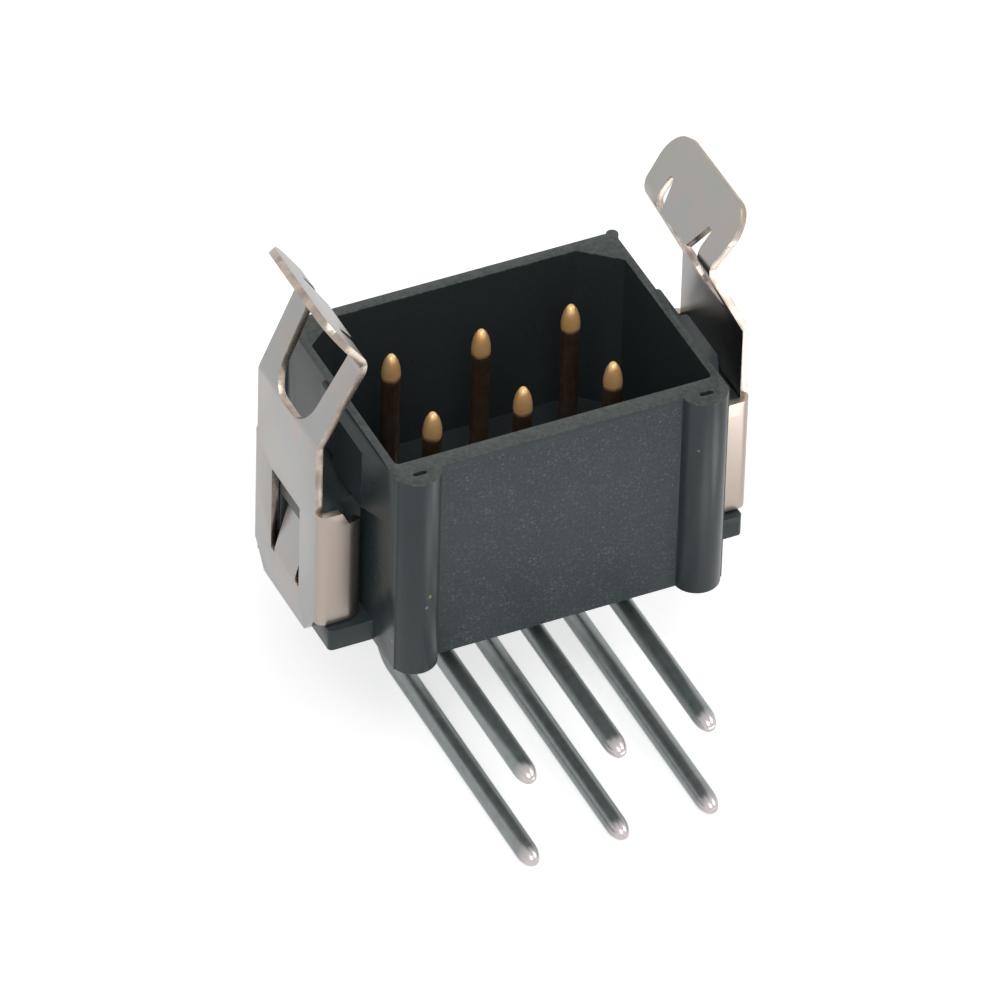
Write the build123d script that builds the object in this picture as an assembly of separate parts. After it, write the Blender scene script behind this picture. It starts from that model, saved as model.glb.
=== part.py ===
from build123d import *
from math import cos, radians, sin
import os

# Shrouded two-row header with bent tails and two spring latches.
# Millimetres. +Z is the mating direction, X runs along the rows and the tails leave towards -Y.
# Heights below are measured from the flat underside of the housing. The finished shapes are then
# lowered, so that the origin is the middle of the contact grid, on the floor where a plug seats.

# Contact grid
pitch = 2.00
columns = 3
row_pitch = 2.00

# Contacts: a slim mating pin, drawn down from a thicker tail by a taper inside the floor
pin_d = 0.40
tail_d = 0.45
hole_fit = 0.005
pin_root_depth = 0.05
taper_length = 0.55
tip_z = 4.70
tip_length = 0.42
tip_flat_d = 0.12
bend_radius = 0.60
upper_tail_z = -1.07
tail_row_pitch = 2.00
upper_tail_end = 6.02
lower_tail_end = 6.28
tail_end_chamfer = 0.12

# Housing shell
housing_length = 7.32
front_reach = 2.84
back_reach = 2.53
housing_height = 4.95
front_wall = 0.37
back_wall = 0.26
end_wall = 0.17
floor_thickness = 1.10
outer_corner_round = 0.08
inner_corner_round = 0.10

# Back corner webs and beads
web_along_back = 0.80
web_along_end = 0.66
bead_d = 0.26
bead_proud = 0.08

# Stand-off columns on the board side, with a small pocket in each top
column_d = 1.00
column_proud = 0.43
pocket_length = 0.30
pocket_width = 0.11
pocket_depth = 0.30

# Thickened mouth of each end wall: a thin pad, then a thick one that ramps off towards the column
mouth_drop = 0.06
mouth_height = 1.40
thin_pad = 0.11
thin_pad_front = -0.38
thin_pad_back = 0.57
thick_pad = 0.27
thick_pad_front = -1.80
thick_pad_ramp = 0.65
pad_round = 0.09

# Ears that carry the latches: a foot, a T-shaped post and a pocket for the barb
ear_length = 0.96
ear_centre_y = -0.10
foot_height = 0.50
foot_half_depth = 1.81
post_height = 3.32
post_half_depth = 1.45
post_head = 0.42
post_stem_half_depth = 1.12
foot_corner_round = 0.10
post_corner_round = 0.10
pocket_margin = 0.12

# Latch sheet
sheet = 0.16
latch_gap = 0.02
fold_inner_radius = 0.05
flange_height = 2.85
flange_end_gap = 0.095
lip_radius = 0.37
lip_angle = 50
flange_corner_cut = 0.30
plate_half_width = 1.41
skirt_drop = 0.48
skirt_chamfer_y = 0.42
skirt_chamfer_z = 0.53
lean_start_z = 5.04
lean_inner_radius = 0.15
knee_z = 6.95
knee_clear = 0.04
knee_half_width = 1.52
knee_inner_radius = 0.30
paddle_top_z = 8.13
paddle_lean = 0.85
paddle_half_width = 1.70
paddle_corner_round = 0.55
arm_window_half_width = 0.76
arm_window_bottom_z = 5.03
arm_window_round = 0.60
slot_half_width = 0.92
paddle_bridge = 0.71
hook_root_half_width = 0.85
hook_end_half_width = 0.64
hook_end_z = 6.87

# Barb lanced out of the latch plate
barb_window_half_width = 0.72
barb_window_bottom_z = 0.88
barb_window_top_z = 2.95
barb_half_width = 0.50
barb_root = 0.10
barb_length = 1.32
barb_angle = 16
barb_inner_radius = 0.15

# How far a cutting tool runs past what it opens
cut_past = 1.00

# Places worked out from the sizes above
half_length = housing_length / 2
front_y = -front_reach
back_y = back_reach
cavity_half_length = half_length - end_wall
cavity_front_y = front_y + front_wall
cavity_back_y = back_y - back_wall
column_x = half_length - column_d / 2
column_y = front_y - column_proud + column_d / 2
bead_x = half_length + bead_proud - bead_d / 2
bead_y = back_y + bead_proud - bead_d / 2
pin_root_z = floor_thickness - pin_root_depth
taper_foot_z = pin_root_z - taper_length
lower_tail_z = upper_tail_z - tail_row_pitch
shank_top = tip_z - tip_length
ear_reach = half_length + ear_length
plate_inner_x = ear_reach + latch_gap
plate_x = plate_inner_x + sheet / 2
fold = fold_inner_radius + sheet / 2
curl = lip_radius + sheet / 2
flange_line_y = post_half_depth + latch_gap + sheet / 2
lip_x = half_length + flange_end_gap + curl * sin(radians(lip_angle))
knee_line_x = half_length + knee_clear + sheet / 2
paddle_line_x = knee_line_x + paddle_lean
paddle_slope = paddle_lean / (paddle_top_z - knee_z)
slot_top_z = paddle_top_z - paddle_bridge
latch_foot_z = foot_height + latch_gap
skirt_z = foot_height - skirt_drop
barb_bend_z = barb_window_bottom_z + barb_root
barb_tip_x = plate_x - barb_length * sin(radians(barb_angle))
barb_tip_z = barb_bend_z + barb_length * cos(radians(barb_angle))
column_places = [(i - (columns - 1) / 2) * pitch for i in range(columns)]


def box(x0, x1, y0, y1, z0, z1):
    """Block between two corners."""
    return Pos((x0 + x1) / 2, (y0 + y1) / 2, (z0 + z1) / 2) * Box(x1 - x0, y1 - y0, z1 - z0)


def on_side(shape, side):
    """The right-hand shape, or its mirror image for the left."""
    return shape if side > 0 else mirror(shape, about=Plane.YZ)


def housing_shell():
    """Moulded trough: outer block with its columns and beads, hollowed from the top."""
    outline = Pos(0, (front_y + back_y) / 2) * RectangleRounded(
        housing_length, back_y - front_y, outer_corner_round
    )
    for side in (-1, 1):
        outline += Pos(side * column_x, column_y) * Circle(column_d / 2)
        flank_x = side * (column_x + column_d / 4)
        flank_y = (front_y + column_y) / 2 + outer_corner_round
        outline += Pos(flank_x, flank_y) * Rectangle(column_d / 2, column_proud)
        outline += Pos(side * bead_x, bead_y) * Circle(bead_d / 2)
    body = extrude(outline, amount=housing_height)
    with BuildSketch() as mouth:
        with BuildLine():
            Polyline(
                (-cavity_half_length, cavity_front_y),
                (cavity_half_length, cavity_front_y),
                (cavity_half_length, cavity_back_y - web_along_end),
                (cavity_half_length - web_along_back, cavity_back_y),
                (-cavity_half_length + web_along_back, cavity_back_y),
                (-cavity_half_length, cavity_back_y - web_along_end),
                close=True,
            )
        make_face()
        fillet(mouth.vertices(), inner_corner_round)
    cavity = extrude(Pos(0, 0, floor_thickness) * mouth.sketch, amount=housing_height - floor_thickness)
    return body - cavity


def end_pads(side):
    """Thickened mouth on the outside of one end wall: a thin step, then a thick one that ramps off."""
    top = housing_height - mouth_drop
    bottom = top - mouth_height
    inner = half_length - end_wall / 2
    thin = box(inner, half_length + thin_pad, thin_pad_front - pad_round, thin_pad_back, bottom, top)
    thin = fillet(thin.edges().filter_by(Axis.Z).group_by(Axis.Y)[-1].sort_by(Axis.X)[-1], pad_round)
    with BuildSketch() as plan:
        with BuildLine():
            Polyline(
                (inner, thin_pad_front),
                (half_length + thick_pad, thin_pad_front),
                (half_length + thick_pad, thick_pad_front),
                (half_length, thick_pad_front - thick_pad_ramp),
                (inner, thick_pad_front - thick_pad_ramp),
                close=True,
            )
        make_face()
        fillet(plan.vertices().group_by(Axis.X)[-1], pad_round)
    thick = extrude(Pos(0, 0, bottom) * plan.sketch, amount=mouth_height)
    return on_side(thin + thick, side)


def ear(side):
    """Foot and T-shaped post of one ear, with the pocket whose top edge the barb catches."""
    root = half_length - end_wall / 2
    foot = box(root, ear_reach, -foot_half_depth, foot_half_depth, 0, foot_height)
    foot = fillet(foot.edges().filter_by(Axis.Z).group_by(Axis.X)[-1], foot_corner_round)
    stem = box(root, ear_reach, -post_stem_half_depth, post_stem_half_depth, 0, post_height)
    head = box(ear_reach - post_head, ear_reach, -post_half_depth, post_half_depth, foot_height, post_height)
    head = fillet(head.edges().filter_by(Axis.Z).group_by(Axis.X)[-1], post_corner_round)
    pocket_half_width = barb_half_width + pocket_margin
    pocket = box(
        barb_tip_x - sheet / 2 - pocket_margin,
        ear_reach + cut_past,
        -pocket_half_width,
        pocket_half_width,
        barb_window_bottom_z - pocket_margin,
        barb_tip_z + sheet / 2 * sin(radians(barb_angle)) + latch_gap,
    )
    return on_side(Pos(0, ear_centre_y, 0) * (foot + stem + head - pocket), side)


def contact_hole(x, y):
    """Straight hole through the floor, sized to the contact's thick part."""
    return extrude(Pos(x, y, -cut_past) * Circle(tail_d / 2 + hole_fit), amount=floor_thickness + 2 * cut_past)


def make_housing():
    """Shell, mouth pads and ears in one moulding."""
    body = housing_shell()
    for side in (-1, 1):
        body += end_pads(side) + ear(side)
        slot = Pos(side * column_x, front_y - pocket_width / 2, housing_height - pocket_depth)
        body -= slot * extrude(SlotOverall(pocket_length, pocket_width), amount=pocket_depth + cut_past)
    for x in column_places:
        for y in (-row_pitch / 2, row_pitch / 2):
            body -= contact_hole(x, y)
    return body


def make_contact(x, y, tail_z, tail_end):
    """One contact: bullet tip, slim pin, taper, bend and tail."""
    path = FilletPolyline((x, y, taper_foot_z), (x, y, tail_z), (x, -tail_end, tail_z), radius=bend_radius)
    tail = sweep(Plane(origin=(x, y, taper_foot_z), z_dir=(0, 0, -1)) * Circle(tail_d / 2), path=path)
    tail = chamfer(tail.edges().filter_by(GeomType.CIRCLE).sort_by(Axis.Y)[0], tail_end_chamfer)
    radius = pin_d / 2
    with BuildSketch(Plane.XZ) as half:
        with BuildLine():
            Polyline(
                (tip_flat_d / 2, tip_z),
                (0, tip_z),
                (0, taper_foot_z),
                (tail_d / 2, taper_foot_z),
                (radius, pin_root_z),
                (radius, shank_top),
            )
            TangentArc((radius, shank_top), (tip_flat_d / 2, tip_z), tangent=(0, 1))
        make_face()
    pin = Pos(x, y, 0) * revolve(half.sketch, axis=Axis.Z)
    return tail + pin


def side_strip(line, half_width):
    """Strip of sheet from its centre line in the XZ plane, with its width along Y."""
    return extrude(Plane.XZ * trace(line, line_width=sheet), amount=half_width, both=True)


def latch_plate():
    """Plate, leaning arms, knee and paddle in one strip, trimmed to the outline seen from the side."""
    bent = FilletPolyline(
        (plate_x, skirt_z),
        (plate_x, lean_start_z),
        (knee_line_x, knee_z),
        (paddle_line_x, paddle_top_z),
        radius=(lean_inner_radius + sheet / 2, knee_inner_radius + sheet / 2),
    )
    strip = side_strip(bent, paddle_half_width + cut_past)
    outline_top = paddle_top_z + sheet
    with BuildSketch() as outline:
        with BuildLine():
            right = Polyline(
                (0, skirt_z),
                (plate_half_width - skirt_chamfer_y, skirt_z),
                (plate_half_width, skirt_z + skirt_chamfer_z),
                (plate_half_width, lean_start_z),
                (knee_half_width, knee_z),
                (paddle_half_width, outline_top),
                (0, outline_top),
            )
            mirror(right, about=Plane.YZ)
        make_face()
        top_corners = outline.vertices().group_by(Axis.Y)[-1].sort_by(Axis.X)
        fillet([top_corners[0], top_corners[-1]], paddle_corner_round)
    return strip & extrude(Plane.YZ * outline.sketch, amount=plate_inner_x + sheet + cut_past)


def latch_channel():
    """Flanges folded round the ear, with lips that curl in behind the head of its post."""
    with BuildLine() as section:
        side = Line((plate_x, 0), (plate_x, flange_line_y - fold))
        bend = JernArc(start=side @ 1, tangent=(0, 1), radius=fold, arc_size=90)
        flat = Line(bend @ 1, (lip_x, flange_line_y))
        JernArc(start=flat @ 1, tangent=(-1, 0), radius=curl, arc_size=lip_angle)
        mirror(section.edges(), about=Plane.XZ)
    channel = extrude(Pos(0, 0, latch_foot_z) * trace(section.line.edges(), line_width=sheet), amount=flange_height)
    top = latch_foot_z + flange_height
    with BuildSketch(Plane.XZ) as corner:
        with BuildLine():
            Polyline(
                (lip_x + flange_corner_cut / 2, top),
                (lip_x, top - flange_corner_cut),
                (lip_x - curl - sheet, top - flange_corner_cut),
                (lip_x - curl - sheet, top),
                close=True,
            )
        make_face()
    return channel - extrude(corner.sketch, amount=flange_line_y + cut_past, both=True)


def arm_window():
    """Opening between the two arms, round at the bottom, that widens to the knee and ends at the slot tops."""
    with BuildSketch() as opening:
        with BuildLine():
            right = Polyline(
                (0, arm_window_bottom_z),
                (arm_window_half_width, arm_window_bottom_z),
                (slot_half_width, knee_z),
                (slot_half_width, slot_top_z),
                (0, slot_top_z),
            )
            mirror(right, about=Plane.YZ)
        make_face()
        bottom_corners = opening.vertices().group_by(Axis.Y)[0].sort_by(Axis.X)
        fillet([bottom_corners[0], bottom_corners[-1]], arm_window_round)
    return extrude(Plane.YZ * opening.sketch, amount=plate_inner_x + sheet + cut_past)


def hook():
    """Tapered tongue that carries on the paddle's slope down between the arms, with a slot at each edge."""
    root_z = slot_top_z + sheet
    root = (knee_line_x + paddle_slope * (root_z - knee_z), root_z)
    end = (knee_line_x + paddle_slope * (hook_end_z - knee_z), hook_end_z)
    strip = side_strip(Line(root, end), slot_half_width)
    with BuildSketch() as outline:
        with BuildLine():
            right = Polyline(
                (0, hook_end_z - sheet),
                (hook_end_half_width, hook_end_z - sheet),
                (hook_end_half_width, hook_end_z),
                (hook_root_half_width, slot_top_z),
                (hook_root_half_width, root_z + sheet),
                (0, root_z + sheet),
            )
            mirror(right, about=Plane.YZ)
        make_face()
    return strip & extrude(Plane.YZ * outline.sketch, amount=plate_inner_x + sheet + cut_past)


def barb():
    """Tongue lanced from the plate, bent in to catch in the post's pocket."""
    line = FilletPolyline(
        (plate_x, barb_window_bottom_z - barb_root),
        (plate_x, barb_bend_z),
        (barb_tip_x, barb_tip_z),
        radius=barb_inner_radius + sheet / 2,
    )
    return side_strip(line, barb_half_width)


def make_latch(side):
    """One folded sheet: channel, plate, arms, paddle, hook and barb."""
    barb_window = box(
        ear_reach,
        plate_inner_x + sheet + cut_past,
        -barb_window_half_width,
        barb_window_half_width,
        barb_window_bottom_z,
        barb_window_top_z,
    )
    folded = latch_plate() + latch_channel() - arm_window() - barb_window + hook() + barb()
    return on_side(Pos(0, ear_centre_y, 0) * folded, side)


def write_part(shape, name):
    """Lower a finished shape, so that the cavity floor lies at height 0, and write its STEP file."""
    export_step(Pos(0, 0, -floor_thickness) * shape, f"parts/{name}.step")


if __name__ == "__main__":
    os.makedirs("parts", exist_ok=True)
    write_part(make_housing(), "housing")
    for i, x in enumerate(column_places, start=1):
        write_part(make_contact(x, -row_pitch / 2, upper_tail_z, upper_tail_end), f"front_contact_{i}")
        write_part(make_contact(x, row_pitch / 2, lower_tail_z, lower_tail_end), f"back_contact_{i}")
    write_part(make_latch(1), "right_latch")
    write_part(make_latch(-1), "left_latch")
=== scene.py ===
from math import atan2, cos, hypot, pi, radians, sin, tan

import bmesh
import bpy
from mathutils import Matrix, Vector


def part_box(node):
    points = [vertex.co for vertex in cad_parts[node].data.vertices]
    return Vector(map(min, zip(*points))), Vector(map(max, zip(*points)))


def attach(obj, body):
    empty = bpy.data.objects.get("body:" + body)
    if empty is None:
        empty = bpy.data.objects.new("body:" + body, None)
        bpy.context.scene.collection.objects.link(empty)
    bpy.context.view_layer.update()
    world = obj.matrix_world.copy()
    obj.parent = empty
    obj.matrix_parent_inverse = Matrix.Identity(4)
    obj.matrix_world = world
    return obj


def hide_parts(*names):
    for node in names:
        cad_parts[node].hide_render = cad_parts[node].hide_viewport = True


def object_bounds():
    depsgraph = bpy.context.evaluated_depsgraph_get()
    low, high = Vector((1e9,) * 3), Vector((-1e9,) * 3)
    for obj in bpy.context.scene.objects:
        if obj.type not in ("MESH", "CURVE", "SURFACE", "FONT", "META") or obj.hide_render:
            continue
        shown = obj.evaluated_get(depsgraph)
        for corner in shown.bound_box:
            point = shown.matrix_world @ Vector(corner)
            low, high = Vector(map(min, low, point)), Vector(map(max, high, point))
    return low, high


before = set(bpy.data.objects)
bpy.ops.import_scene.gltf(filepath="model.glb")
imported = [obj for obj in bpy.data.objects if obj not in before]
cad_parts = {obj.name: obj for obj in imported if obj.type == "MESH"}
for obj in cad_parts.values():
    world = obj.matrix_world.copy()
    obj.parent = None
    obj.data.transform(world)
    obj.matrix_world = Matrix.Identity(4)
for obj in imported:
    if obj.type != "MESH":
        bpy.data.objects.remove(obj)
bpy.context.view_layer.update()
MM = 0.001

# Housing: one black moulding of glass-filled nylon, with the trough, ears and stand-off columns in one
# shot. Its long outer panels are spark-eroded in the tool, so they sparkle; the sparkle is painted into
# the colour as painted glints. The rest came off polished steel. The tool leaves small rounds at every
# edge.
housing_low, housing_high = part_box("housing")
under_z = housing_low.z
half_length_mm = 3.66
column_d_mm = 1.00
column_proud_mm = 0.43
bead_proud_mm = 0.08
inside_end_walls_mm, inside_long_walls_mm = 3.50, 2.50
flank_from_mm = 3.60
edge_round_mm = 0.022
round_above_degrees, sharp_above_degrees = 40, 32
round_segments = 3
weld_mm = 0.0005
panel_skin_mm, underside_skin_mm = 0.01, 0.1
panel_fade_mm = 0.06
panel_top_mm = (0.16, 0.06)
fine_speck_mm, coarse_speck_mm = 0.048, 0.085
ragged_mm = 0.05
grain_mm = 0.014
cloud_mm = 1.2
patch_mm = 0.55
scuff_mm = 0.10
seam_mm = 0.022
wobble_mm, wobble_reach_mm = 0.05, 0.07


def linear(colour):
    """A colour written as sRGB hex, in the linear values that the shaders use."""
    channels = [int(colour[i:i + 2], 16) / 255 for i in (1, 3, 5)]
    return [c / 12.92 if c <= 0.04045 else ((c + 0.055) / 1.055) ** 2.4 for c in channels] + [1.0]


def add_node(tree, kind, inputs=None, **settings):
    """Adds a node to a tree, with its settings, its values and its links."""
    node = tree.nodes.new(kind)
    for name, value in settings.items():
        setattr(node, name, value)
    for name, value in (inputs or {}).items():
        if isinstance(value, bpy.types.NodeSocket):
            tree.links.new(value, node.inputs[name])
        else:
            node.inputs[name].default_value = value
    return node


def arithmetic(tree, operation, *values, clamp=False):
    """One step of arithmetic on values and sockets."""
    inputs = dict(enumerate(values))
    return add_node(tree, "ShaderNodeMath", inputs, operation=operation, use_clamp=clamp).outputs[0]


def between(tree, value, start, end, first=0.0, last=1.0):
    """Goes from the first value to the last while the input goes from start to end."""
    inputs = {"Value": value, "From Min": start, "From Max": end, "To Min": first, "To Max": last}
    return add_node(tree, "ShaderNodeMapRange", inputs).outputs["Result"]


def noise(tree, place, size_mm, detail, roughness=0.5):
    """Cloudy noise with features of this size."""
    inputs = {"Vector": place, "Scale": 1 / (size_mm * MM), "Detail": detail, "Roughness": roughness}
    return add_node(tree, "ShaderNodeTexNoise", inputs).outputs


def pushed(tree, place, push, reach_mm):
    """The place, pushed about by a noise's colour over up to this distance."""
    inputs = {0: push, 1: (reach_mm * MM,) * 3, 2: place}
    return add_node(tree, "ShaderNodeVectorMath", inputs, operation="MULTIPLY_ADD").outputs["Vector"]


def mixed(tree, share, first, last):
    """Colour this share of the way from the first to the last, each a hex value or a socket."""
    first, last = (linear(colour) if isinstance(colour, str) else colour for colour in (first, last))
    inputs = {"Factor": share, "A": first, "B": last}
    return add_node(tree, "ShaderNodeMix", inputs, data_type="RGBA").outputs["Result"]


def bumped(tree, height, strength, depth_mm, **under):
    """Normal over this relief, on top of another relief where one is given."""
    inputs = {"Height": height, "Strength": strength, "Distance": depth_mm * MM, **under}
    return add_node(tree, "ShaderNodeBump", inputs).outputs["Normal"]


def new_material(name):
    """An empty node material, with its tree."""
    material = bpy.data.materials.new(name)
    material.use_nodes = True
    material.node_tree.nodes.clear()
    return material, material.node_tree


def finish_material(tree, **inputs):
    """Ends a material's tree with its shader."""
    shader = add_node(tree, "ShaderNodeBsdfPrincipled", {k.replace("_", " "): v for k, v in inputs.items()})
    add_node(tree, "ShaderNodeOutputMaterial", {"Surface": shader.outputs["BSDF"]})


def add_object(name, data):
    """A new object in the scene."""
    made = bpy.data.objects.new(name, data)
    bpy.context.scene.collection.objects.link(made)
    return made


def plain_mesh(piece, name):
    """The piece with its modifiers made real, as a new object in the same place."""
    depsgraph = bpy.context.evaluated_depsgraph_get()
    mesh = bpy.data.meshes.new_from_object(piece.evaluated_get(depsgraph))
    mesh.name = name
    bpy.data.objects.remove(piece)
    return add_object(name, mesh)


def smooth_by_angle(mesh, degrees):
    """Smooth shading, apart from edges sharper than this."""
    mesh.polygons.foreach_set("use_smooth", [True] * len(mesh.polygons))
    mesh.set_sharp_from_angle(angle=radians(degrees))


def bevel(piece, width_mm, segments, degrees):
    """Small round on each edge that is sharper than this."""
    modifier = piece.modifiers.new("edge round", "BEVEL")
    modifier.width = width_mm * MM
    modifier.segments = segments
    modifier.limit_method = "ANGLE"
    modifier.angle_limit = radians(degrees)
    modifier.use_clamp_overlap = True
    modifier.harden_normals = False


# Moulded nylon is dull and nearly black, painted a little darker inside the trough as painted shade.
# Spark erosion gives the long panels a fine sparkle, painted into the colour as pale specks of painted
# glints. The top of the rim is a scuffed parting face, painted lighter both for its scuffs and as painted
# top light, a shut-off seam runs down each column's flank, and the columns carry one speck of yellow dirt
# and three small scuffs.
moulding, tree = new_material("glass_filled_nylon_moulded")
place = add_node(tree, "ShaderNodeTexCoord").outputs["Object"]
axis = add_node(tree, "ShaderNodeSeparateXYZ", {"Vector": place}).outputs
panel_front_y = housing_low.y + column_proud_mm * MM
panel_back_y = housing_high.y - bead_proud_mm * MM
panel_end_x = half_length_mm * MM - column_d_mm * MM
from_end = arithmetic(tree, "ABSOLUTE", axis["X"])
between_columns = between(tree, from_end, panel_end_x - panel_fade_mm * MM, panel_end_x, 1.0, 0.0)
off_middle = arithmetic(tree, "SUBTRACT", axis["Y"], (panel_front_y + panel_back_y) / 2)
from_middle = arithmetic(tree, "ABSOLUTE", off_middle)
half_depth = (panel_back_y - panel_front_y) / 2
outer_faces = arithmetic(tree, "GREATER_THAN", from_middle, half_depth - panel_skin_mm * MM)
panel_top_z = [housing_high.z - below_mm * MM for below_mm in panel_top_mm]
below_rim = between(tree, axis["Z"], panel_top_z[0], panel_top_z[1], 1.0, 0.0)
panel_sides = arithmetic(tree, "MULTIPLY", between_columns, outer_faces)
panel = arithmetic(tree, "MULTIPLY", panel_sides, below_rim)

# The sparkle, as painted glints: pale ragged dots in two sizes over a fine pitting, thinner in some patches
# than in others. The same dots also raise the relief.
pitting = noise(tree, place, fine_speck_mm, 3.0, 0.7)
ragged_place = pushed(tree, place, pitting["Color"], ragged_mm)
speck_relief_and_painted_glints = between(tree, pitting["Fac"], 0.45, 0.8, 0.0, 0.30)
for speck_mm in (fine_speck_mm, coarse_speck_mm):
    cells = add_node(
        tree, "ShaderNodeTexVoronoi", {"Vector": ragged_place, "Scale": 1 / (speck_mm * MM)}
    ).outputs
    dot = between(tree, cells["Distance"], 0.05, 0.45, 1.0, 0.0)
    luck = add_node(tree, "ShaderNodeSeparateColor", {"Color": cells["Color"]}).outputs["Red"]
    bright_dot = between(tree, luck, 0.3, 1.0, 0.0, 0.55)
    speck_relief_and_painted_glints = arithmetic(tree, "MULTIPLY_ADD", dot, bright_dot, speck_relief_and_painted_glints)
patches = noise(tree, place, patch_mm, 2.0)["Fac"]
speck_relief_and_painted_glints = arithmetic(tree, "MULTIPLY", speck_relief_and_painted_glints, between(tree, patches, 0.3, 0.7, 0.5, 1.0))
painted_glint_strength = between(tree, panel, 0.0, 1.0, 0.10, 0.82)
painted_glint_mix = arithmetic(tree, "MULTIPLY", speck_relief_and_painted_glints, painted_glint_strength, clamp=True)

# The nylon's own colour, with painted shade making it darker inside the trough, and the painted glints of
# the sparkle over it.
clouds = noise(tree, place, cloud_mm, 4.0)["Fac"]
nylon = mixed(tree, clouds, "#2c3537", "#374143")
between_ends = arithmetic(tree, "LESS_THAN", from_end, inside_end_walls_mm * MM)
between_walls = arithmetic(tree, "LESS_THAN", from_middle, inside_long_walls_mm * MM)
above_underside = arithmetic(tree, "GREATER_THAN", axis["Z"], under_z + underside_skin_mm * MM)
in_trough = arithmetic(tree, "MULTIPLY", between_ends, between_walls)
painted_shade_in_trough = arithmetic(tree, "MULTIPLY", in_trough, above_underside)
nylon_with_painted_glints = mixed(tree, painted_glint_mix, mixed(tree, painted_shade_in_trough, nylon, "#2a3133"), "#86949a")

# The rim's scuffed top, painted lighter both for its scuffs and as painted top light, whose border wanders
# with the depth of the scuffs.
scuffs = noise(tree, place, scuff_mm, 4.0, 0.7)["Fac"]
shallow_z = housing_high.z - 0.1 * edge_round_mm * MM
deep_z = housing_high.z - 1.6 * edge_round_mm * MM
rim_face = arithmetic(tree, "GREATER_THAN", axis["Z"], between(tree, scuffs, 0.35, 0.65, shallow_z, deep_z))
rim_scuffs_and_painted_top_light = mixed(tree, between(tree, scuffs, 0.26, 0.74), "#2d3331", "#5a615d")
rimmed = mixed(tree, rim_face, nylon_with_painted_glints, rim_scuffs_and_painted_top_light)

# The seam on each column's flank, broken in places.
column_y = housing_low.y + column_d_mm / 2 * MM
off_seam = arithmetic(tree, "ABSOLUTE", arithmetic(tree, "SUBTRACT", axis["Y"], column_y))
seam_line = between(tree, off_seam, 0.4 * seam_mm * MM, seam_mm * MM, 1.0, 0.0)
seam_shown = arithmetic(tree, "MULTIPLY", seam_line, between(tree, scuffs, 0.40, 0.56))
on_flank = arithmetic(tree, "GREATER_THAN", from_end, flank_from_mm * MM)
seam = arithmetic(tree, "MULTIPLY", seam_shown, on_flank)
stained = mixed(tree, seam, rimmed, "#0b0c0d")

# One speck of dirt and three scuffs, placed from the middle of the contact grid on the underside.
wobbly_place = pushed(tree, place, noise(tree, place, wobble_mm, 2.0)["Color"], wobble_reach_mm)
for mark_colour, spot_mm, mark_radius_mm in (
    ("#9aa63c", (-3.00, -3.22, 2.00), 0.055),
    ("#7d8a8c", (-3.07, -3.23, 1.74), 0.045),
    ("#8fa08c", (2.92, -3.15, 3.79), 0.025),
    ("#8a9698", (-3.62, -2.79, 0.71), 0.030),
):
    mark_place = (spot_mm[0] * MM, spot_mm[1] * MM, spot_mm[2] * MM + under_z)
    off_mark = add_node(
        tree, "ShaderNodeVectorMath", {0: wobbly_place, 1: mark_place}, operation="DISTANCE"
    ).outputs["Value"]
    mark = between(tree, off_mark, 0.5 * mark_radius_mm * MM, mark_radius_mm * MM, 0.9, 0.0)
    stained = mixed(tree, mark, stained, mark_colour)

grain_bump = bumped(tree, noise(tree, place, grain_mm, 2.0)["Fac"], 0.15, 0.005)
erosion_depth = between(tree, panel, 0.0, 1.0, 0.03, 0.45)
erosion_bump = bumped(tree, speck_relief_and_painted_glints, erosion_depth, 0.012, Normal=grain_bump)
polished_roughness = between(tree, clouds, 0.0, 1.0, 0.24, 0.34)
moulded_roughness = between(tree, panel, 0.0, 1.0, polished_roughness, 0.52)
finish_material(
    tree, Base_Color=stained, Roughness=moulded_roughness, Normal=erosion_bump, IOR=1.50,
    Specular_IOR_Level=0.32,
)

housing = add_object("housing_moulding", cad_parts["housing"].data.copy())
shell = bmesh.new()
shell.from_mesh(housing.data)
bmesh.ops.remove_doubles(shell, verts=shell.verts, dist=weld_mm * MM)
bmesh.ops.dissolve_limit(shell, angle_limit=radians(0.5), verts=shell.verts, edges=shell.edges)
shell.to_mesh(housing.data)
shell.free()
bevel(housing, edge_round_mm, round_segments, round_above_degrees)
housing = plain_mesh(housing, "housing_moulding")
smooth_by_angle(housing.data, sharp_above_degrees)
housing.data.materials.clear()
housing.data.materials.append(moulding)
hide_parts("housing")
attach(housing, "root")

# Contacts: six wires of plated copper alloy, each coined to a bullet tip, pressed up through the floor
# and bent towards the board. The mating end is gold, and the tail is tin for soldering.
pin_d_mm = 0.40
tail_d_mm = 0.45
pin_root_mm = -0.05
taper_mm = 0.55
bend_radius_mm = 0.60
tip_length_mm = 0.52
tail_end_length_mm = 0.44
tip_flat_share = 0.15
tail_flat_share = 0.24
bullet_power = 0.66
rings = 420
rings_per_bend = 40
facets_round = 36
wire_sharp_above_degrees = 50
tin_top_mm, gold_foot_mm = -0.8, -0.3
tip_gold_end_mm, ragged_end_mm = (0.60, 0.72), 0.16
painted_highlight_end_mm = (0.08, 0.42)
handling_mm = 0.22
drawn_line_mm = 0.04


def end_profile(tree, distance, length, flat_share):
    """Share of the full radius at this distance from an end that is coined to a bullet over this length."""
    left = arithmetic(tree, "SUBTRACT", 1.0, arithmetic(tree, "DIVIDE", distance, length, clamp=True))
    rest = arithmetic(tree, "SUBTRACT", 1.0, arithmetic(tree, "POWER", left, 2.0))
    bullet = arithmetic(tree, "POWER", rest, bullet_power)
    return arithmetic(tree, "MULTIPLY_ADD", bullet, 1 - flat_share, flat_share)


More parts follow.
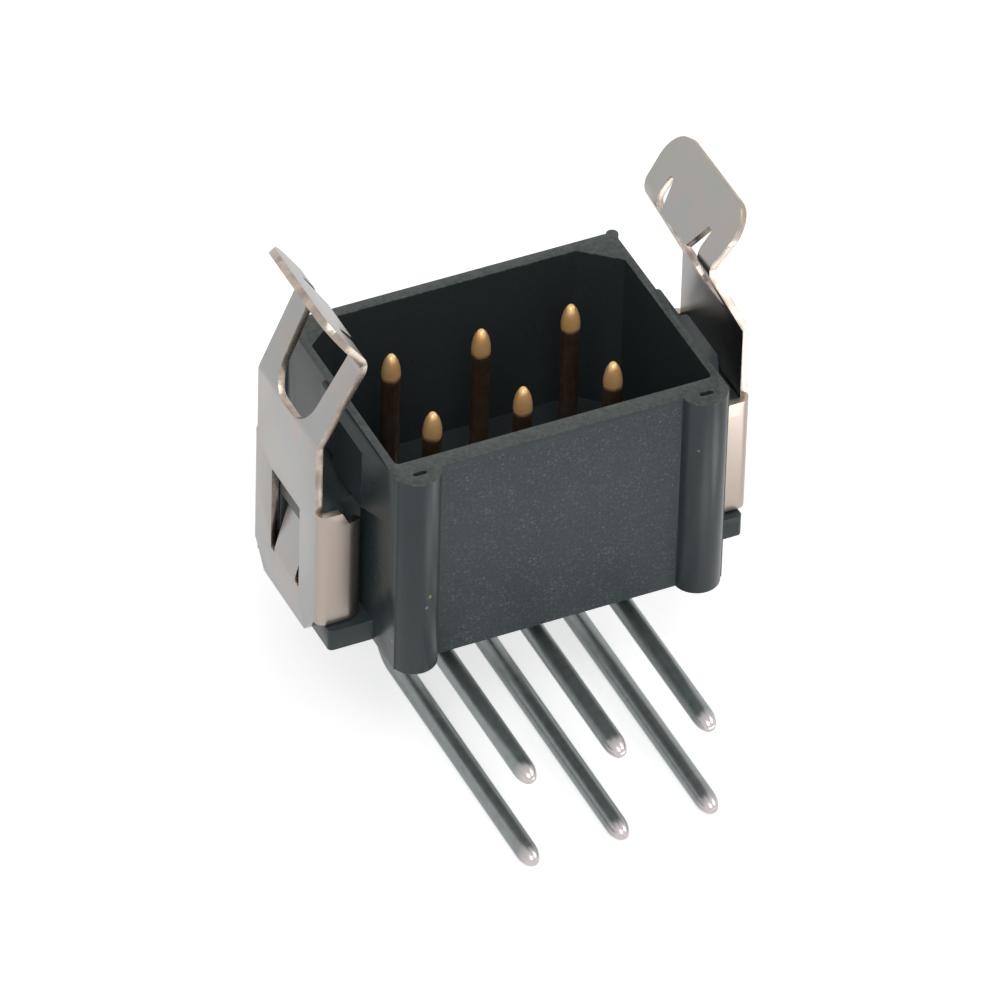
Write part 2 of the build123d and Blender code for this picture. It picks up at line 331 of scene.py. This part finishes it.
wire_tree = bpy.data.node_groups.new("contact_wire", "GeometryNodeTree")
wire_tree.interface.new_socket("Geometry", in_out="OUTPUT", socket_type="NodeSocketGeometry")
wire_tree.interface.new_socket("Route", in_out="INPUT", socket_type="NodeSocketGeometry")
for socket_name, size_mm in (
    ("Pin radius", pin_d_mm / 2),
    ("Tail radius", tail_d_mm / 2),
    ("Bend radius", bend_radius_mm),
    ("Pin length", 0.0),
    ("Taper length", taper_mm),
    ("Tip length", tip_length_mm),
    ("Tail end length", tail_end_length_mm),
):
    socket = wire_tree.interface.new_socket(socket_name, in_out="INPUT", socket_type="NodeSocketFloat")
    socket.default_value = size_mm * MM
wire_tree.interface.new_socket("Finish", in_out="INPUT", socket_type="NodeSocketMaterial")
given = add_node(wire_tree, "NodeGroupInput").outputs
bent = add_node(
    wire_tree, "GeometryNodeFilletCurve",
    {"Curve": given["Route"], "Radius": given["Bend radius"], "Count": rings_per_bend}, mode="POLY",
)
marked = add_node(
    wire_tree, "GeometryNodeResampleCurve", {"Curve": bent.outputs[0], "Count": rings}, mode="COUNT"
).outputs[0]
along = add_node(wire_tree, "GeometryNodeSplineParameter").outputs["Length"]
whole = add_node(wire_tree, "GeometryNodeSplineLength").outputs["Length"]
from_tail_end = arithmetic(wire_tree, "SUBTRACT", whole, along)
taper_end = arithmetic(wire_tree, "ADD", given["Pin length"], given["Taper length"])
body_radius = between(
    wire_tree, along, given["Pin length"], taper_end, given["Pin radius"], given["Tail radius"]
)
tip_share = end_profile(wire_tree, along, given["Tip length"], tip_flat_share)
tail_share = end_profile(wire_tree, from_tail_end, given["Tail end length"], tail_flat_share)
end_share = arithmetic(wire_tree, "MULTIPLY", tip_share, tail_share)
radius = arithmetic(wire_tree, "MULTIPLY", end_share, body_radius)
for mark_name, distance in (("from_tip", along), ("from_tail_end", from_tail_end)):
    marked = add_node(
        wire_tree, "GeometryNodeStoreNamedAttribute",
        {"Geometry": marked, "Name": mark_name, "Value": distance}, data_type="FLOAT", domain="POINT",
    ).outputs["Geometry"]
circle = add_node(
    wire_tree, "GeometryNodeCurvePrimitiveCircle", {"Resolution": facets_round, "Radius": 1.0}
)
wire = add_node(
    wire_tree, "GeometryNodeCurveToMesh",
    {"Curve": marked, "Profile Curve": circle.outputs[0], "Scale": radius, "Fill Caps": True},
)
real = add_node(wire_tree, "GeometryNodeRealizeInstances", {"Geometry": wire.outputs[0]})
coloured = add_node(
    wire_tree, "GeometryNodeSetMaterial", {"Geometry": real.outputs[0], "Material": given["Finish"]}
)
add_node(wire_tree, "NodeGroupOutput", {"Geometry": coloured.outputs[0]})

# Plating: thick matt gold on the coined tip and a thin brown flash of it down the pin give way to dull
# grey tin inside the floor, and the tail's coined end is smoother and painted pale and pinkish as a painted
# highlight. Faint lines are drawn along the wire, and patches show where it was handled. The lines are
# coarser than real ones, so that they show.
plating, tree = new_material("gold_and_tin_plated_wire")
place = add_node(tree, "ShaderNodeTexCoord").outputs["Object"]
height = add_node(tree, "ShaderNodeSeparateXYZ", {"Vector": place}).outputs["Z"]
gold_share = between(tree, height, tin_top_mm * MM, gold_foot_mm * MM)
handled = noise(tree, place, handling_mm, 4.0)["Fac"]
from_tip = add_node(tree, "ShaderNodeAttribute", attribute_name="from_tip").outputs["Fac"]
ragged = arithmetic(tree, "MULTIPLY_ADD", handled, ragged_end_mm * MM, from_tip)
below_tip = between(tree, ragged, tip_gold_end_mm[0] * MM, tip_gold_end_mm[1] * MM)
from_end = add_node(tree, "ShaderNodeAttribute", attribute_name="from_tail_end").outputs["Fac"]
# The tail's end is smoother, and is painted pale pinkish as a painted highlight.
smooth_end_and_painted_highlight = between(tree, from_end, painted_highlight_end_mm[0] * MM, painted_highlight_end_mm[1] * MM, 1.0, 0.0)
tip_gold = mixed(tree, handled, "#ffb560", "#ffdfa6")
pin_gold = mixed(tree, handled, "#8a6148", "#c6a88e")
gold = mixed(tree, below_tip, tip_gold, pin_gold)
tin = mixed(tree, smooth_end_and_painted_highlight, mixed(tree, handled, "#7c8483", "#9ca2a1"), "#c9bfbf")
metal_colour = mixed(tree, gold_share, tin, gold)
drawn_place = add_node(tree, "ShaderNodeMapping", {"Vector": place, "Scale": (1.0, 0.04, 0.04)})
drawn_lines = noise(tree, drawn_place.outputs["Vector"], drawn_line_mm, 2.0)["Fac"]
gold_roughness = between(tree, below_tip, 0.0, 1.0, 0.28, 0.22)
tin_roughness = between(tree, smooth_end_and_painted_highlight, 0.0, 1.0, between(tree, handled, 0.0, 1.0, 0.26, 0.40), 0.20)
wire_roughness = between(tree, gold_share, 0.0, 1.0, tin_roughness, gold_roughness)
gold_metal = between(tree, below_tip, 0.0, 1.0, 0.48, 0.92)
tin_metal = between(tree, smooth_end_and_painted_highlight, 0.0, 1.0, 0.80, 1.0)
wire_metal = between(tree, gold_share, 0.0, 1.0, tin_metal, gold_metal)
finish_material(
    tree, Base_Color=metal_colour, Roughness=wire_roughness, Metallic=wire_metal,
    Normal=bumped(tree, drawn_lines, 0.12, 0.004),
)

for node_name in sorted(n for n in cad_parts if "contact" in n):
    low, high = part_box(node_name)
    x = (low.x + high.x) / 2
    pin_y = high.y - tail_d_mm / 2 * MM
    tail_z = low.z + tail_d_mm / 2 * MM
    route = bpy.data.curves.new(node_name, "CURVE")
    route.dimensions = "3D"
    spline = route.splines.new("POLY")
    spline.points.add(2)
    for point, spot in zip(spline.points, ((x, pin_y, high.z), (x, pin_y, tail_z), (x, low.y, tail_z))):
        point.co = (*spot, 1.0)
    contact = add_object(node_name, route)
    wire_modifier = contact.modifiers.new("wire", "NODES")
    wire_modifier.node_group = wire_tree
    sockets = [item for item in wire_tree.interface.items_tree if item.in_out == "INPUT"]
    identifiers = {item.name: item.identifier for item in sockets}
    wire_modifier[identifiers["Pin length"]] = high.z - pin_root_mm * MM
    wire_modifier[identifiers["Finish"]] = plating
    contact = plain_mesh(contact, node_name + "_wire")
    smooth_by_angle(contact.data, wire_sharp_above_degrees)
    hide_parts(node_name)
    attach(contact, "root")

# Latches: a blank of thin spring steel, cut flat with its window, slots and barb, then folded round the
# ear and up into a knee and a paddle. The nickel finish is soft and grey, and the cut edges are warmer.
# Heights are above the housing's underside.
sheet_mm = 0.16
plate_x_mm = 4.72
skirt_z_mm = 0.02
skirt_chamfer_y_mm = 0.42
skirt_chamfer_z_mm = 0.53
lean_z_mm = 5.04
lean_bend_mm = 0.23
knee_x_mm, knee_z_mm = 3.78, 6.95
knee_bend_mm = 0.38
top_x_mm, top_z_mm = 4.63, 8.13
plate_half_mm, knee_half_mm, top_half_mm = 1.41, 1.52, 1.68
top_round_mm, shoulder_round_mm = 0.55, 0.20
ear_centre_mm = -0.10
flange_z_mm = (0.52, 3.37)
fold_start_mm, fold_mm = 1.42, 0.13
lip_x_mm, lip_mm, lip_degrees = 4.14, 0.32, 50
flange_flat_mm = plate_x_mm - fold_mm - lip_x_mm
flange_cut_mm = 0.30
flange_foot_step_mm = 0.03
window_half_mm, window_z_mm, window_round_mm = 0.76, 5.03, 0.60
slot_half_mm, slot_top_mm, slot_round_mm = 0.96, 7.44, 0.03
hook_root_mm, hook_end_mm, hook_end_z_mm = 0.82, 0.58, 6.90
barb_window_half_mm, barb_window_foot_mm, barb_window_top_mm = 0.68, 0.88, 2.95
barb_half_mm, barb_bend_z_mm, barb_length_mm, barb_degrees = 0.50, 0.98, 1.42, 15
corner_round_mm = 0.04
cut_edge_round_mm = 0.018
sheet_round_above_degrees, sheet_sharp_above_degrees = 50, 40
steps_per_bend = 14
flange_skin_mm = 0.1
rolled_line_mm = 0.03
tiny_mm = 0.001
blank_line = (
    (plate_x_mm, skirt_z_mm), (plate_x_mm, lean_z_mm), (knee_x_mm, knee_z_mm), (top_x_mm, top_z_mm),
)
paddle_slope = (top_x_mm - knee_x_mm) / (top_z_mm - knee_z_mm)


def rounded(corners):
    """Outline through (across, up, radius) corners, each radius drawn as an arc of short steps."""
    outline = []
    for i, (y, z, r) in enumerate(corners):
        here = Vector((y, z))
        before = Vector(corners[i - 1][:2]) - here
        after = Vector(corners[(i + 1) % len(corners)][:2]) - here
        if r == 0:
            outline.append(here)
            continue
        before.normalize()
        after.normalize()
        half = before.angle(after) / 2
        centre = here + (before + after).normalized() * (r / sin(half))
        start = here + before * (r / tan(half)) - centre
        end = here + after * (r / tan(half)) - centre
        turn = start.angle_signed(end)
        steps = max(3, round(abs(turn) * 6))
        for k in range(steps + 1):
            outline.append(centre + Matrix.Rotation(-turn * k / steps, 2) @ start)
    return outline


def mirrored(corners):
    """The corners of the right half, followed by those of the left half."""
    return corners + [(-y, z, r) for y, z, r in reversed(corners)]


def sheet_line(z):
    """Distance of the bent sheet's middle from the housing's centre, at this height."""
    slopes = [(b[0] - a[0]) / (b[1] - a[1]) for a, b in zip(blank_line, blank_line[1:])]
    bends = zip(blank_line[1:3], (lean_bend_mm, knee_bend_mm), slopes, slopes[1:])
    for (x, corner_z), bend_mm, below, above in bends:
        turn = atan2(above - below, 1 + above * below)
        reach = bend_mm * tan(abs(turn) / 2)
        low = corner_z - reach / hypot(1, below)
        high = corner_z + reach / hypot(1, above)
        if low < z < high:
            toward = 1 if turn > 0 else -1
            centre_z = low - toward * bend_mm * below / hypot(1, below)
            centre_x = x + below * (low - corner_z) + toward * bend_mm / hypot(1, below)
            return centre_x - toward * (bend_mm ** 2 - (z - centre_z) ** 2) ** 0.5
    part = 0 if z <= lean_z_mm else 1 if z <= knee_z_mm else 2
    return blank_line[part][0] + slopes[part] * (z - blank_line[part][1])


def folded(y, z):
    """Place of a point of the flat blank after folding, in millimetres, for the right latch."""
    side = 1 if y >= 0 else -1
    across = abs(y)
    if across > fold_start_mm and z <= flange_z_mm[1] + tiny_mm:
        past = across - fold_start_mm
        arc = fold_mm * pi / 2
        if past <= arc:
            turn = past / fold_mm
            return plate_x_mm - fold_mm * (1 - cos(turn)), side * (fold_start_mm + fold_mm * sin(turn)), z
        past -= arc
        line_y = fold_start_mm + fold_mm
        if past <= flange_flat_mm:
            return plate_x_mm - fold_mm - past, side * line_y, z
        turn = (past - flange_flat_mm) / lip_mm
        return lip_x_mm - lip_mm * sin(turn), side * (line_y - lip_mm * (1 - cos(turn))), z
    in_barb_window = barb_window_foot_mm - tiny_mm < z < barb_window_top_mm - tiny_mm
    if across <= barb_half_mm + tiny_mm and in_barb_window:
        return plate_x_mm - max(0, z - barb_bend_z_mm) * tan(radians(barb_degrees)), y, z
    if across < hook_root_mm + tiny_mm and hook_end_z_mm - tiny_mm < z <= slot_top_mm:
        return knee_x_mm + paddle_slope * (z - knee_z_mm), y, z
    return sheet_line(z), y, z


wing_flat_end_mm = fold_start_mm + fold_mm * pi / 2 + flange_flat_mm
wing_end_mm = wing_flat_end_mm + lip_mm * radians(lip_degrees)
barb_tip_z_mm = barb_bend_z_mm + barb_length_mm * cos(radians(barb_degrees))
blank_outline = rounded(mirrored([
    (plate_half_mm - skirt_chamfer_y_mm, skirt_z_mm, corner_round_mm),
    (plate_half_mm, skirt_z_mm + skirt_chamfer_z_mm, 0),
    (wing_end_mm, flange_z_mm[0] + flange_foot_step_mm, corner_round_mm),
    (wing_end_mm, flange_z_mm[1] - flange_cut_mm, corner_round_mm),
    (wing_flat_end_mm, flange_z_mm[1] - flange_cut_mm, corner_round_mm),
    (wing_flat_end_mm - flange_cut_mm / 2, flange_z_mm[1], corner_round_mm),
    (plate_half_mm, flange_z_mm[1], 0),
    (plate_half_mm, lean_z_mm, shoulder_round_mm),
    (knee_half_mm, knee_z_mm, shoulder_round_mm),
    (top_half_mm, top_z_mm, top_round_mm),
]))
arm_window = rounded(mirrored([
    (window_half_mm, window_z_mm, window_round_mm),
    (slot_half_mm, knee_z_mm, shoulder_round_mm),
    (slot_half_mm, slot_top_mm, slot_round_mm),
    (hook_root_mm, slot_top_mm, slot_round_mm),
    (hook_end_mm, hook_end_z_mm, corner_round_mm),
]))
barb_window = rounded(mirrored([
    (barb_half_mm, barb_tip_z_mm, corner_round_mm),
    (barb_half_mm, barb_window_foot_mm, 0),
    (barb_window_half_mm, barb_window_foot_mm, corner_round_mm),
    (barb_window_half_mm, barb_window_top_mm, corner_round_mm),
]))


def cut_blank():
    """Flat blank with its openings, scored by fine lines wherever it will bend."""
    blank = bmesh.new()
    edges = []
    for outline in (blank_outline, arm_window, barb_window):
        corners = [blank.verts.new((0, p.x, p.y)) for p in outline]
        edges += [blank.edges.new((a, b)) for a, b in zip(corners, corners[1:] + corners[:1])]
    bmesh.ops.triangle_fill(blank, use_beauty=True, use_dissolve=False, edges=edges, normal=(1, 0, 0))
    bends = ((lean_z_mm, lean_bend_mm), (knee_z_mm, knee_bend_mm * 0.6), (barb_bend_z_mm, lean_bend_mm))
    scores = [((0, 0, corner_z + bend_mm * k / steps_per_bend), (0, 0, 1))
              for corner_z, bend_mm in bends
              for k in range(-steps_per_bend, steps_per_bend + 1)]
    scores += [((0, 0, hook_end_z_mm - 0.02), (0, 0, 1)), ((0, 0, slot_top_mm + 0.01), (0, 0, 1))]
    for side in (-1, 1):
        for k in range(steps_per_bend + 1):
            fold_line = fold_start_mm + fold_mm * pi / 2 * k / steps_per_bend
            lip_line = wing_flat_end_mm + lip_mm * radians(lip_degrees) * k / steps_per_bend
            scores += [((0, side * fold_line, 0), (0, 1, 0)), ((0, side * lip_line, 0), (0, 1, 0))]
    for point, normal in scores:
        everything = blank.verts[:] + blank.edges[:] + blank.faces[:]
        bmesh.ops.bisect_plane(blank, geom=everything, dist=1e-5, plane_co=point, plane_no=normal)
    return blank


def steel(name, casts_of_colour, warm, cast_mm, roughness_low, roughness_high, line_strength):
    """Nickel-plated spring steel, plain or sheared, with the casts of colour that drift over it."""
    material, tree = new_material(name)
    place = add_node(tree, "ShaderNodeTexCoord").outputs["Object"]
    casts = noise(tree, place, cast_mm, 3.0)["Fac"]
    colour = add_node(tree, "ShaderNodeValToRGB", {"Fac": casts})
    ramp = colour.color_ramp.elements
    first, last = 0.34, 0.66
    while len(ramp) < len(casts_of_colour):
        ramp.new(0.5)
    for i, hex_colour in enumerate(casts_of_colour):
        ramp[i].position = first + (last - first) * i / (len(casts_of_colour) - 1)
        ramp[i].color = linear(hex_colour)
    axis = add_node(tree, "ShaderNodeSeparateXYZ", {"Vector": place}).outputs
    off_centre = arithmetic(tree, "ABSOLUTE", arithmetic(tree, "SUBTRACT", axis["Y"], ear_centre_mm * MM))
    sideways = between(tree, off_centre, fold_start_mm * MM, (fold_start_mm + fold_mm) * MM)
    flange_top_z = under_z + (flange_z_mm[1] + flange_skin_mm) * MM
    below_top = arithmetic(tree, "LESS_THAN", axis["Z"], flange_top_z)
    flange = arithmetic(tree, "MULTIPLY", sideways, below_top)
    rolled_place = add_node(tree, "ShaderNodeMapping", {"Vector": place, "Scale": (1.0, 1.0, 0.05)})
    rolled_lines = noise(tree, rolled_place.outputs["Vector"], rolled_line_mm, 3.0)["Fac"]
    finish_material(
        tree, Base_Color=mixed(tree, flange, colour.outputs["Color"], warm),
        Roughness=between(tree, casts, 0.0, 1.0, roughness_low, roughness_high),
        Normal=bumped(tree, rolled_lines, line_strength, 0.003), Metallic=1.0,
    )
    return material


# Nickel on steel: soft grey with faint warm and green casts, warmer on the folded flanges, with rolled
# lines along the strip and small rubs. Where the sheet was sheared it is browner and more mottled.
latch_face = steel(
    "nickel_plated_spring_steel", ("#a2a39c", "#a8a29f", "#a1a3a2", "#aaa39f"), "#b1a59b",
    cast_mm=1.5, roughness_low=0.24, roughness_high=0.36, line_strength=0.10,
)
latch_edge = steel(
    "sheared_steel_edge", ("#978b82", "#a99c90", "#bdb1a3", "#9e9287"), "#b6a999",
    cast_mm=0.60, roughness_low=0.22, roughness_high=0.32, line_strength=0.14,
)

for side, node_name in ((1, "right_latch"), (-1, "left_latch")):
    blank = cut_blank()
    for vertex in blank.verts:
        x, y, z = folded(vertex.co.y, vertex.co.z)
        vertex.co = Vector((side * x, y + ear_centre_mm, z)) * MM + Vector((0, 0, under_z))
    bmesh.ops.recalc_face_normals(blank, faces=blank.faces)
    mesh = bpy.data.meshes.new(node_name)
    blank.to_mesh(mesh)
    blank.free()
    latch = add_object(node_name + "_flat", mesh)
    mesh.materials.append(latch_face)
    mesh.materials.append(latch_edge)
    thickness = latch.modifiers.new("sheet", "SOLIDIFY")
    thickness.thickness = sheet_mm * MM
    thickness.offset = 0
    thickness.use_even_offset = True
    thickness.material_offset_rim = 1
    bevel(latch, cut_edge_round_mm, round_segments, sheet_round_above_degrees)
    latch = plain_mesh(latch, node_name + "_sheet")
    smooth_by_angle(latch.data, sheet_sharp_above_degrees)
    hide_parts(node_name)
    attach(latch, "root")

# Studio: a white paper floor under the tails, which glows a little so that the shadows stay pale, and a
# soft lamp high on each side.
paper_glow = 0.62
paper_glow_mirrored = 0.50
world_light = 0.32
floor_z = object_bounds()[0].z
floor_mm = (-400, 400)
card_y_mm = (-16.0, -8.5)
card_lift_mm = 0.1


def flat_sheet(name, material, x_mm, y_mm, z):
    """A flat sheet between these ends in x and in y, at this height in metres."""
    corners_mm = ((x_mm[0], y_mm[0]), (x_mm[1], y_mm[0]), (x_mm[1], y_mm[1]), (x_mm[0], y_mm[1]))
    mesh = bpy.data.meshes.new(name)
    mesh.from_pydata([(x * MM, y * MM, z) for x, y in corners_mm], [], [(0, 1, 2, 3)])
    mesh.materials.append(material)
    return add_object(name, mesh)


paper, tree = new_material("matt_white_paper")
rays = add_node(tree, "ShaderNodeLightPath").outputs
mirrored_rays = arithmetic(tree, "MAXIMUM", rays["Is Glossy Ray"], rays["Is Transmission Ray"])
mirrored_glow = arithmetic(tree, "MULTIPLY", mirrored_rays, paper_glow_mirrored)
direct_glow = arithmetic(tree, "MULTIPLY", rays["Is Camera Ray"], paper_glow)
glow_strength = arithmetic(tree, "MAXIMUM", direct_glow, mirrored_glow)
glow = add_node(tree, "ShaderNodeEmission", {"Color": linear("#ffffff"), "Strength": glow_strength})
matt = add_node(tree, "ShaderNodeBsdfDiffuse", {"Color": linear("#e6e6e6")})
lit_paper = add_node(tree, "ShaderNodeAddShader", {0: glow.outputs["Emission"], 1: matt.outputs["BSDF"]})
add_node(tree, "ShaderNodeOutputMaterial", {"Surface": lit_paper.outputs["Shader"]})
floor = flat_sheet("floor", paper, floor_mm, floor_mm, floor_z)

# Two bright cards lie in front of the columns. They show only as shine, such as the line of light on
# each column.
for card_name, card_x_mm, card_glow in (("left_card", (0.5, 5.5), 2.6), ("right_card", (7.5, 12.5), 4.6)):
    card_paper, tree = new_material(card_name)
    card_light = add_node(tree, "ShaderNodeEmission", {"Color": linear("#ffffff"), "Strength": card_glow})
    add_node(tree, "ShaderNodeOutputMaterial", {"Surface": card_light.outputs["Emission"]})
    card = flat_sheet(card_name, card_paper, card_x_mm, card_y_mm, floor_z + card_lift_mm * MM)
    card.visible_camera = False
    card.visible_diffuse = False
    card.visible_shadow = False

for lamp_name, spot_mm, size_mm, watts in (
    ("high_left", (-95, -180, 225), (180, 180), 0.36),
    ("high_right", (210, -60, 200), (160, 160), 0.20),
):
    lamp_data = bpy.data.lights.new(lamp_name, "AREA")
    lamp_data.shape = "RECTANGLE"
    lamp_data.size = size_mm[0] * MM
    lamp_data.size_y = size_mm[1] * MM
    lamp_data.energy = watts
    lamp = add_object(lamp_name, lamp_data)
    lamp.location = Vector(spot_mm) * MM
    lamp.rotation_euler = (-lamp.location).to_track_quat("-Z", "Y").to_euler()

# The room gives a dim, even light. It is white only where it is seen directly or in a reflection.
world = bpy.data.worlds.new("studio")
world.use_nodes = True
tree = world.node_tree
tree.nodes.clear()
rays = add_node(tree, "ShaderNodeLightPath").outputs
camera_or_glossy = arithmetic(tree, "MAXIMUM", rays["Is Camera Ray"], rays["Is Glossy Ray"])
seen = arithmetic(tree, "MAXIMUM", camera_or_glossy, rays["Is Transmission Ray"])
background = add_node(
    tree, "ShaderNodeBackground",
    {"Color": linear("#ffffff"), "Strength": between(tree, seen, 0.0, 1.0, world_light, 1.0)},
)
add_node(tree, "ShaderNodeOutputWorld", {"Surface": background.outputs["Background"]})
bpy.context.scene.world = world
bpy.context.scene.view_settings.view_transform = "Standard"

# Camera: a long lens high on the left of the front, rolled a little. The middle of the contact grid on
# the housing's underside falls at this pixel of the 1000 by 1000 picture, at this scale.
azimuth, elevation, roll = radians(-26.0), radians(39.96), radians(1.70)
distance_mm = 250.0
pixels_per_mm = 49.083
underside_pixel = (497.14, 536.72)
picture_pixels = 1000
sensor_mm = 36
towards = Vector((-sin(azimuth) * cos(elevation), cos(azimuth) * cos(elevation), -sin(elevation)))
level_right = towards.cross(Vector((0, 0, 1))).normalized()
level_down = towards.cross(level_right)
right = level_right * cos(roll) - level_down * sin(roll)
down = level_right * sin(roll) + level_down * cos(roll)
offset_mm = [(pixel - picture_pixels / 2) / pixels_per_mm for pixel in underside_pixel]
spot = Vector((0, 0, under_z)) - (right * offset_mm[0] + down * offset_mm[1] + towards * distance_mm) * MM
camera_data = bpy.data.cameras.new("camera")
camera_data.sensor_width = sensor_mm
camera_data.lens = pixels_per_mm * distance_mm / picture_pixels * sensor_mm
camera_data.clip_start = 10 * MM
camera_data.clip_end = 2000 * MM
camera = add_object("camera", camera_data)
axes = Matrix((right, -down, -towards)).transposed()
camera.matrix_world = Matrix.Translation(spot) @ axes.to_4x4()
bpy.context.scene.camera = camera
